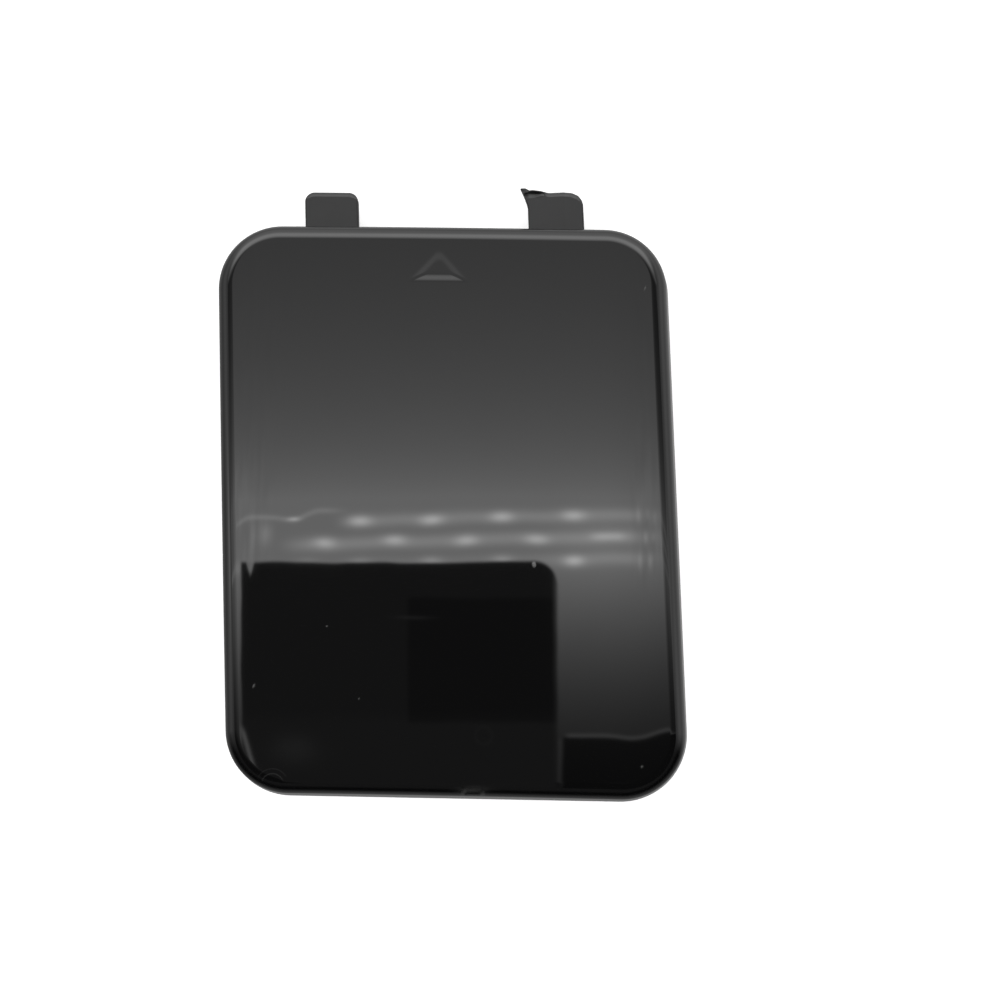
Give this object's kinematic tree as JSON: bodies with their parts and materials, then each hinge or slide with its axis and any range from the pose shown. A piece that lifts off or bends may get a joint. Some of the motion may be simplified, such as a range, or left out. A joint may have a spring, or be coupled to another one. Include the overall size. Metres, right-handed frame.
{
  "type": "bumper tow hook cover",
  "caption": "Rounded rectangular snap-in cover with a crowned gloss face, a drafted skirt, hooking tongues on one edge and a spring clip on the other.",
  "frame": {"origin": "middle of the bounding box, at the feet of the clip and fins that the cover lies on", "axes": "+Z out of the gloss face, +Y towards the edge with the two tongues, +X to the right seen from the face"},
  "size_m": [0.0776, 0.1067, 0.0144],
  "materials": {
    "gloss_black": "polished piano black on the face and skirt, satin as moulded behind"
  },
  "bodies": {
    "root": {"tow_hook_cover": "gloss_black"}
  },
  "joints": []
}
